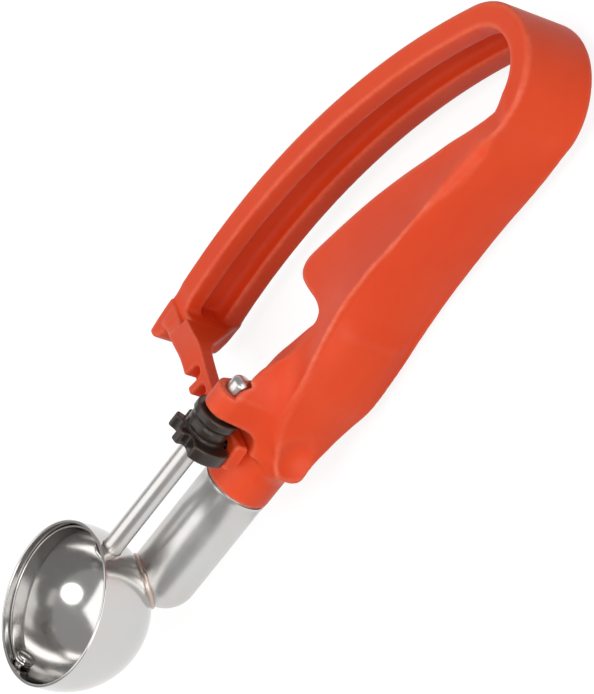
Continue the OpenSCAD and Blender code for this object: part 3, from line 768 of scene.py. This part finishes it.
drawn = drawn_metal()
HEATED, HEAT_REACH = (0.43, 0.28, 0.22, 1), 5.5
STEEL, WARM_STEEL = (0.58, 0.58, 0.57, 1), (0.60, 0.51, 0.46, 1)
BRAZE, WARM_BRAZE = (0.50, 0.43, 0.39, 1), (0.54, 0.38, 0.31, 1)
bar_steel = metal("drawn_steel", STEEL, WARM_STEEL, 0.30, (0.04, 1, 1), 0.35, 0.25)
bowl_steel = metal("spun_steel", STEEL, WARM_STEEL, 0.13, (1, 1, 0.2), 0.3, 0.12)
bead_steel = metal("braze_metal", BRAZE, WARM_BRAZE, 0.28, (1, 1, 1), 0.7, 0.4)

# Tube: cylinder lines from the collar, then meridians of the round end up to the bowl's outside. A
# meridian point at angle b is centre + r (-sin b, cos b * out); it meets the bowl's ball where
# |centre|^2 + r^2 + 2 r (-x sin b + centre.out cos b) is the ball's radius squared.
TUBE_SIDES, DOME_ROWS = 144, 26
tube_turn = full_turn(TUBE_SIDES)
tube_out = np.stack([0 * tube_turn, np.cos(tube_turn), np.sin(tube_turn)], 1)
tube_centre = np.array([DOME_X, 0, -AXIS_DROP])
gain_s, gain_c = -DOME_X, (tube_out * tube_centre).sum(1)
wanted = ((BOWL_R - TUBE_SINK) ** 2 - tube_centre @ tube_centre - TUBE_R**2) / (2 * TUBE_R)
size, phase = np.hypot(gain_s, gain_c), np.arctan2(gain_s, gain_c)
last = np.clip(phase + np.arccos(np.clip(wanted / size, -1, 1)), 0.0, np.pi / 2)
b = np.linspace(0, 1, DOME_ROWS)[:, None] * last[None, :]
dome_way = np.stack([-np.sin(b), 0 * b, 0 * b], -1) + np.cos(b)[..., None] * tube_out[None]
dome = tube_centre + TUBE_R * dome_way
# The tube's end carries a turned ring that just shows in front of the collar: x, rise above the tube
RING, GROOVE = 0.12, -0.35
straight_rows = [(TUBE_BACK, 0), (56, 0), (46.5, 0), (46.15, GROOVE), (45.9, GROOVE), (45.8, RING),
                 (44.9, RING), (44.75, 0), (36, 0), (28, 0), (22, 0), (DOME_X, 0)]
straight = np.stack([[x, 0, -AXIS_DROP] + (TUBE_R + rise) * tube_out for x, rise in straight_rows])
# The front end closes on a point behind the bead, inside the bowl, and the back on the tube's axis
BEHIND_BEAD, CLOSING = 1.015, (0.35, 0.7, 0.999)
ends = [dome[-1] * (1 - s) + s * np.array([BEAD_AT]) * BEHIND_BEAD for s in CLOSING]
tube_axis = np.array([TUBE_BACK, 0, -AXIS_DROP])
back_cap = tube_axis + (straight[0] - tube_axis) * 0.001
tube_grid = np.concatenate([[back_cap], straight, dome[1:], ends])
tube = piece("shank_tube_steel", *surface_of(tube_grid), bar_steel)
sharp_above(tube, 50)
tint(tube)
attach(tube, "handle")
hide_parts("shank_tube")

# Bead: a ring of braze metal, a little uneven as it ran: its wire swells by two waves round the ring
RING_STEPS, WIRE_STEPS = 160, 20
bead_turn, bead_round = full_turn(RING_STEPS)[:, None], full_turn(WIRE_STEPS)[None, :]
bead_u = np.array([0.0, 1.0, 0.0])
bead_v = np.cross(bead_normal, bead_u)
wire_r = BEAD_WIRE * (1 + 0.05 * np.sin(5 * bead_turn + 1) + 0.03 * np.sin(13 * bead_turn))
way = np.cos(bead_turn)[..., None] * bead_u + np.sin(bead_turn)[..., None] * bead_v
bead_grid = (np.array(BEAD_AT) + (BEAD_R + wire_r * np.cos(bead_round))[..., None] * way
             + (wire_r * np.sin(bead_round))[..., None] * bead_normal)
bead_points, bead_quads = surface_of(bead_grid, True)
bead = piece("braze_ring", bead_points, bead_quads[:, ::-1], bead_steel)
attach(bead, "handle")
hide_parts("braze_bead")

# Rod: a plain bar with a small chamfer inside the bowl and a dome at the boss
ROD_R, ROD_FRONT, ROD_END, ROD_DOME, ROD_CHAMFER = 2.4, 16.7, 73.6, 1.7, 0.3
quarter = np.linspace(0, np.pi / 2, 14)
rod_profile = [(ROD_FRONT, 0.0), (ROD_FRONT, ROD_R - ROD_CHAMFER), (ROD_FRONT + ROD_CHAMFER, ROD_R)]
rod_profile += [(x, ROD_R) for x in (24, 36, 48, 60)]
rod_profile += [(ROD_END - ROD_DOME + ROD_DOME * np.sin(a), ROD_R * np.cos(a)) for a in quarter]
rod = lathe_piece("rod_steel", rod_profile, (1, 0, 0), 72, bar_steel)
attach(rod, "ejector")
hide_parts("ejector_rod")

# --------------------
# Bowl: stainless sheet spun over a half ball with a short straight skirt, its rim rounded over, and the
# stud that is riveted in its far wall to carry the blade's front end.

BOWL_WALL, SKIRT, SKIRT_ROWS, ROD_GAP = 0.8, 3.75, (0.25, 0.5, 0.75), 0.12
arch = np.linspace(0, np.pi / 2, 60)
rim = np.linspace(0, np.pi, 12)
inside_r, half_wall = BOWL_R - BOWL_WALL, BOWL_WALL / 2
bowl_profile = [(-BOWL_R * np.cos(a), BOWL_R * np.sin(a)) for a in arch]
bowl_profile += [(SKIRT * s, BOWL_R) for s in SKIRT_ROWS]
bowl_profile += [(SKIRT - half_wall + half_wall * np.sin(a), BOWL_R - half_wall + half_wall * np.cos(a))
                 for a in rim]
bowl_profile += [(SKIRT * s, inside_r) for s in SKIRT_ROWS[::-1]]
bowl_profile += [(-inside_r * np.cos(a), inside_r * np.sin(a)) for a in arch[::-1]]
bowl = lathe_piece("bowl_steel", bowl_profile, (0, 0, 1), 160, bowl_steel, 60)
punch_r, punch_from, punch_to = ROD_R + ROD_GAP, 15, 25  # a cylinder that cuts the hole for the rod
punch_profile = [(punch_from, 0.0), (punch_from, punch_r), (punch_to, punch_r), (punch_to, 0.0)]
punch = lathe_piece("rod_punch", punch_profile, (1, 0, 0), 48, bowl_steel)
hole = bowl.modifiers.new("rod_hole", "BOOLEAN")
hole.operation, hole.solver, hole.object = "DIFFERENCE", "EXACT", punch
bpy.context.view_layer.update()
punched = bpy.data.meshes.new_from_object(bowl.evaluated_get(bpy.context.evaluated_depsgraph_get()))
bowl.modifiers.clear()
bowl.data = punched
bpy.data.objects.remove(punch)
sharp_above(bowl, 60)
tint(bowl)
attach(bowl, "handle")
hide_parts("bowl")

# Stud: a domed head inside the blade's eye, the shank, and a low riveted head outside the bowl; each
# row is a place outwards from the eye or the bowl's outside, and a radius
STUD_R, EYE_X, EYE_T = 1.4, 17.964, 0.8
INNER_HEAD = [(0.7, 0.0), (0.68, 1.6), (0.55, 2.1), (0.35, 2.3), (0.2, 2.3), (0.2, STUD_R)]
OUTER_HEAD = [(0.05, STUD_R), (0.02, 2.25), (-0.12, 2.25), (-0.3, 2.0), (-0.38, 1.2), (-0.4, 0.0)]
stud_profile = [(-EYE_X + EYE_T + x, r) for x, r in INNER_HEAD] + [(-BOWL_R + x, r) for x, r in OUTER_HEAD]
stud = lathe_piece("stud_steel", stud_profile, (1, 0, 0), 48, bowl_steel, 30)
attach(stud, "handle")
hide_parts("pivot_stud")

# --------------------
# Sweep blade: a strip of spring steel bent to follow the inside of the bowl, with an eye at each end,
# one fixed on the rod and the other turning on the stud.

BLADE_R, BLADE_T, BLADE_HALF = 18.6, 0.6, 2.0
BLADE_TAPER, BLADE_SQUARE = 0.08, 0.35  # narrowing towards the eyes; the section's corners
EYE_RIM, EYE_CHAMFER = 1.1, 0.2
ROD_EYE_R, STUD_EYE_R = 2.1, 1.46  # holes: one is pressed on the rod, the other turns on the stud
BLADE_ENDS, BLADE_ROWS, SECTION = (3, 177), 120, 32


def squared(v):
    """Sine or cosine flattened to a power, which turns the round section into a strip's."""
    return np.sign(v) * np.abs(v) ** BLADE_SQUARE


blade_turn = np.radians(np.linspace(*BLADE_ENDS, BLADE_ROWS))[:, None]
corner_turn = full_turn(SECTION)[None, :]
blade_out = BLADE_R - BLADE_T / 2 + BLADE_T / 2 * squared(np.cos(corner_turn))
blade_width = BLADE_HALF * (1 - BLADE_TAPER + BLADE_TAPER * np.sin(blade_turn))
blade_side = blade_width * squared(np.sin(corner_turn))
blade_points = np.stack([blade_out * np.cos(blade_turn), blade_out * np.sin(blade_turn),
                         blade_side + 0 * blade_out], -1)
caps = [np.repeat(row.mean(1, keepdims=True), SECTION, 1) for row in (blade_points[:1], blade_points[-1:])]
blade_points = np.concatenate([caps[0], blade_points, caps[1]])
blade = piece("blade_steel", *surface_of(blade_points), bowl_steel)


def eye(x, hole_r, edge_r):
    """Flat ring about the rod's axis from x, its closed profile chamfered at the outer edge."""
    x_end, face_r = x + EYE_T, edge_r - EYE_CHAMFER
    profile = [(x, hole_r), (x, face_r), (x + EYE_CHAMFER, edge_r), (x_end - EYE_CHAMFER, edge_r),
               (x_end, face_r), (x_end, hole_r), (x, hole_r)]
    return lathe_piece("eye", profile, (1, 0, 0), 48, bowl_steel, 30)


eyes = [eye(EYE_X - EYE_T, ROD_EYE_R, ROD_R + EYE_RIM), eye(-EYE_X, STUD_EYE_R, STUD_R + EYE_RIM)]
close_up(blade, [blade] + eyes)
for thing in eyes:
    bpy.data.objects.remove(thing)
sharp_above(blade, 50)
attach(blade, "ejector")
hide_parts("sweep_blade")

# --------------------
# Drive gear: near-black acetal moulded with five blocky teeth on the working side and a plain sector on
# the rest, then a drum with two ring grooves that fills the housing up to the boss. Pressed on the rod.

GEAR_X, GEAR_FACE = 53.5, 3.4
DRUM_R, DRUM_END, DRUM_MIDDLE = 5.0, 63.2, 59
TIP_R, TOOTH_ROOT, TOOTH_TIP, TOOTH_FIRST, TOOTH_STEP, TOOTH_ROUND = 7.4, 2.7, 2.2, 1.6, 360 / 7, 0.65
SECTOR, SECTOR_R, SECTOR_LEAN, SECTOR_ROUND = (143.0, 217.0), 8.2, 0.5, 0.5
SLAB_ROUND, DRUM_ROUND, GEAR_FILLET, DRUM_FILLET = 0.35, 0.3, 1.2, 0.5
RIDGE_RISE, RIDGE_AT = 0.55, (60.9, 61.4)  # the drum's end is a little fuller
GROOVES = ((0.3, 57.6, 0.5), (0.25, 60.3, 0.4))  # depth, place and half width of its ring grooves


def gear(x, y, z):
    """Field of the gear: toothed slab, sector and drum about the rod. A tooth is what lies between two
    sides that lean in towards the tip, measured in the frame turned to the nearest tooth."""
    r = np.hypot(y, z)
    angle = np.degrees(np.arctan2(z, y))
    i = np.clip(np.round((angle - TOOTH_FIRST) / TOOTH_STEP), -2, 2)
    off = np.radians(angle - TOOTH_FIRST - i * TOOTH_STEP)
    lean = (TOOTH_ROOT - TOOTH_TIP) / 2 / (TIP_R - DRUM_R)
    tooth = both(np.abs(r * np.sin(np.clip(off, -1.5, 1.5))) - (TOOTH_ROOT / 2 - lean * (r - DRUM_R)),
                 np.where(np.cos(off) > 0, r * np.cos(off), 99) - TIP_R, TOOTH_ROUND)
    middle = (SECTOR[0] + SECTOR[1]) / 2
    turned = np.radians((angle - middle + 180) % 360 - 180)
    half = np.radians((SECTOR[1] - SECTOR[0]) / 2)
    sector_side = r * np.sin(np.clip(np.abs(turned) - half, -1.5, 1.5)) - SECTOR_LEAN * (SECTOR_R - r)
    sector = both(r - SECTOR_R, sector_side, SECTOR_ROUND)
    outline = joined(joined(r - DRUM_R, tooth, GEAR_FILLET), sector, GEAR_FILLET)
    slab = both(outline, np.abs(x - GEAR_X - GEAR_FACE / 2) - GEAR_FACE / 2, SLAB_ROUND)
    ridge = RIDGE_RISE * step(x, *RIDGE_AT)
    groove = sum(depth * np.exp(-(((x - place) / half) ** 2)) for depth, place, half in GROOVES)
    drum = both(r - DRUM_R - ridge + groove, np.abs(x - DRUM_MIDDLE) - (DRUM_END - DRUM_MIDDLE), DRUM_ROUND)
    return joined(slab, drum, DRUM_FILLET)


BROWN_BLACK, DEEP_BROWN = (0.022, 0.015, 0.012, 1), (0.030, 0.020, 0.016, 1)
GEAR_BOX, GEAR_PITCH = ((52.5, -9, -9), (64, 9, 9)), 0.25
black = plastic("dark_acetal", BROWN_BLACK, DEEP_BROWN, 0.28, 0.6, 0.25)
gear_piece = piece("gear_moulding", *skin(gear, *GEAR_BOX, GEAR_PITCH), black)
# Paler outer edges: rubbed wear and a painted highlight along the edges.
rubbed_and_highlit_edges(gear_piece, 2, 6)
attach(gear_piece, "ejector")
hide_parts("drive_gear")

# --------------------
# Studio: a grey floor just under the scoop, a dim white world, four soft lamps and the camera. White that
# only the camera and mirrors see is added to the floor: it looks white and keeps the scoop's shadow, and
# doesn't light the scoop.

FLOOR_GAP, FLOOR_HALF = 0.0006, 6  # metres
FLOOR_PAINT, FLOOR_ROUGHNESS, FLOOR_GLOW, WORLD_LIGHT = (0.25, 0.25, 0.25, 1), 0.9, 0.84, 0.40

floor_paint, paint, matt = bare("floor_paint")
matt.inputs["Base Color"].default_value = FLOOR_PAINT
matt.inputs["Roughness"].default_value = FLOOR_ROUGHNESS
path = node(paint, "LightPath").outputs
seen = reckoned(paint, "MAXIMUM", path["Is Camera Ray"], path["Is Glossy Ray"])
level = node(paint, "Math", operation="MULTIPLY")
level.inputs[1].default_value = FLOOR_GLOW
glow = node(paint, "Emission", _Color=WHITE)
lit = node(paint, "AddShader")
wire(paint, (seen, level.inputs[0]), (level.outputs[0], glow.inputs["Strength"]),
     (matt.outputs[0], lit.inputs[0]), (glow.outputs[0], lit.inputs[1]),
     (lit.outputs[0], paint.nodes["Material Output"].inputs["Surface"]))
floor_z = size_before[0][2] - FLOOR_GAP
ways = ((-1, -1), (1, -1), (1, 1), (-1, 1))
corners = np.array([(x * FLOOR_HALF, y * FLOOR_HALF, floor_z) for x, y in ways])
floor = piece("floor", corners / MM, np.array([(0, 1, 2, 3)]), floor_paint)

world = bpy.data.worlds.new("studio")
bpy.context.scene.world = world
world.use_nodes = True
sky = world.node_tree.nodes["Background"]
sky.inputs["Color"].default_value = WHITE
sky.inputs["Strength"].default_value = WORLD_LIGHT

MIDDLE = (0.06, 0.01, -0.015)  # middle of the scoop, in metres


def lamp(name, shape, way, away, width, height, radiance):
    """Area lamp of one radiance, seen from the scoop's middle in a direction and at a distance, facing
    it. A lamp of power P and area A has the radiance P / (pi A)."""
    light = bpy.data.lights.new(name, "AREA")
    area = width * height * (np.pi / 4 if shape == "ELLIPSE" else 1)
    light.shape, light.size, light.size_y, light.energy = shape, width, height, radiance * np.pi * area
    thing = placed(name, light)
    thing.location = Vector(MIDDLE) + Vector(way).normalized() * away
    thing.rotation_euler = Vector(way).to_track_quat("Z", "Y").to_euler()


# Top: upper sides. Back and low: flanks and steel. Round: highlight in the bowl.
lamp("top", "RECTANGLE", (-0.22, 0.0, 0.97), 1.1, 1.2, 1.2, 1.40)
lamp("back", "RECTANGLE", (-0.43, 0.87, 0.20), 1.0, 0.8, 0.3, 0.9)
lamp("low", "RECTANGLE", (0.48, -0.87, 0.11), 0.8, 1.3, 0.3, 2.7)
lamp("round", "ELLIPSE", (0.12, -0.797, 0.591), 1.2, 0.62, 0.62, 3.6)

CAMERA_AT = (0.55975, -0.73872, 0.63991)  # metres
CAMERA_RIGHT, CAMERA_UP = (0.5595, -0.3122, -0.7678), (0.7055, 0.6656, 0.2434)
CAMERA_BACK = (0.4350, -0.6778, 0.5927)  # away from what it looks at
camera_data = bpy.data.cameras.new("camera")
camera_data.sensor_width, camera_data.lens = 36, 256.7
camera_data.clip_end = 50
camera = placed("camera", camera_data)
camera_turn = Matrix((CAMERA_RIGHT, CAMERA_UP, CAMERA_BACK)).transposed().to_4x4()
camera.matrix_world = Matrix.Translation(CAMERA_AT) @ camera_turn
bpy.context.scene.camera = camera

bpy.context.scene.view_settings.view_transform = "Standard"
